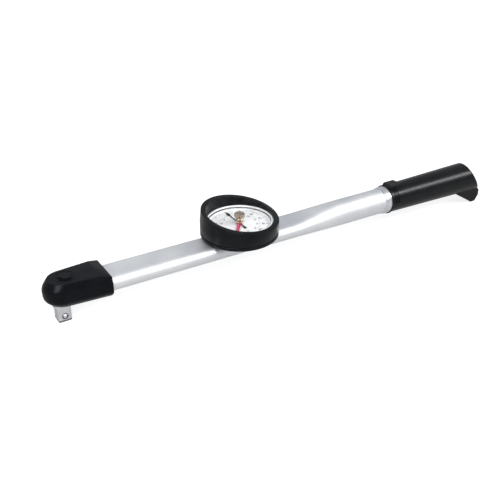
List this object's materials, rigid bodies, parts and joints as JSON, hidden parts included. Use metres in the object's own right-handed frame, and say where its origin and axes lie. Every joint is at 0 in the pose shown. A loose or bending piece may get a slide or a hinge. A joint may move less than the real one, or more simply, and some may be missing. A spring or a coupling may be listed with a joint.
{
  "type": "dial torque wrench",
  "caption": "Dial torque wrench: square drive on a pivoted head, flattened tube with a measuring spring, dial with hooded rubber ring, memory hand, hooked grip.",
  "frame": {"origin": "on the axis of the drive square, at the shoulder where the square leaves the head", "axes": "+X from the drive towards the grip along the wrench, +Y across it, +Z the way the dial faces, opposite to the drive square"},
  "size_m": [0.5311, 0.0798, 0.0665],
  "materials": {
    "forged_steel": "bright plated forged steel",
    "bearing_steel": "polished hardened steel",
    "spring_steel": "blued spring steel",
    "bronze": "sintered bronze",
    "black_moulding": "black semi-gloss moulding with a fine grain",
    "zinc_screw": "zinc plated",
    "satin_aluminium": "satin with a fine drawn grain",
    "plain_steel": "ground steel",
    "cast_aluminium": "turned",
    "movement_brass": "turned brass",
    "black_paint": "matt black paint",
    "red_paint": "red paint",
    "dial_white": "silvery white lacquer with black graduations",
    "seal_rubber": "matt",
    "crystal_glass": "clear, polished",
    "ring_trim": "bright turned",
    "bronzed_knob": "dark bronzed, knurled",
    "black_rubber": "black, semi-matt"
  },
  "bodies": {
    "frame": {"tube": "satin_aluminium", "head_pin": "bearing_steel", "pin_clips": "spring_steel", "head_cover": "black_moulding", "head_cap": "black_moulding", "cover_screws": "zinc_screw", "measuring_spring": "spring_steel", "reaction_block": "plain_steel", "block_screws": "zinc_screw", "dial_case": "cast_aluminium", "case_screws": "zinc_screw", "movement_plate": "movement_brass", "movement_pillars": "plain_steel", "bridge_plate": "movement_brass", "bridge_screws": "zinc_screw", "hairspring": "spring_steel", "hairspring_stud": "plain_steel", "grip_collar": "satin_aluminium", "grip": "black_moulding", "grip_screw": "zinc_screw"},
    "head": {"drive_head": "forged_steel", "pivot_bush": "bronze", "detent_spring": "spring_steel", "spring_pins": "bearing_steel", "indicator_lever": "plain_steel", "lever_screws": "zinc_screw"},
    "detent": {"detent_ball": "bearing_steel"},
    "intermediate_gear": {"intermediate_arbor": "plain_steel", "intermediate_wheel": "movement_brass"},
    "pointer": {"centre_arbor": "plain_steel", "hairspring_collet": "movement_brass", "main_pointer": "black_paint"},
    "zero_ring": {"zero_ring": "cast_aluminium", "dial_plate": "dial_white", "crystal_seal": "seal_rubber", "crystal": "crystal_glass", "crystal_ring": "ring_trim", "knob_bush": "movement_brass", "protector": "black_rubber"},
    "memory_hand": {"memory_pointer": "red_paint", "knob_shaft": "bronzed_knob", "reset_knob": "bronzed_knob"}
  },
  "joints": [
    {"name": "head_swing", "type": "hinge", "parent": "frame", "child": "head", "pos_m": [0.024, 0, 0.0146], "axis": [0, 0, 1], "range_deg": [-1.74, 1.74], "stiffness_Nm_per_rad": 6500, "deforming": ["measuring_spring", "hairspring"]},
    {"name": "intermediate_spin", "type": "hinge", "parent": "frame", "child": "intermediate_gear", "pos_m": [0.178, 0, 0.025], "axis": [0, 0, 1], "range_deg": [-75.1, 75.1]},
    {"name": "pointer_spin", "type": "hinge", "parent": "frame", "child": "pointer", "pos_m": [0.19, 0, 0.03], "axis": [0, 0, 1], "range_deg": [-300.4, 300.4], "deforming": ["hairspring"]},
    {"name": "zero_ring_turn", "type": "hinge", "parent": "frame", "child": "zero_ring", "pos_m": [0.19, 0, 0.03], "axis": [0, 0, 1], "continuous": true},
    {"name": "memory_hand_turn", "type": "hinge", "parent": "zero_ring", "child": "memory_hand", "pos_m": [0.19, 0, 0.036], "axis": [0, 0, 1], "continuous": true},
    {"name": "detent_press", "type": "slide", "parent": "head", "child": "detent", "axis": [0, 1, 0], "range_m": [0, 0.0009], "stiffness_N_per_m": 3000, "springref_m": -0.001, "deforming": ["detent_spring"]}
  ],
  "couplings": [
    {"joint": "intermediate_spin", "follows": "head_swing", "ratio": -43},
    {"joint": "pointer_spin", "follows": "head_swing", "ratio": 172}
  ]
}
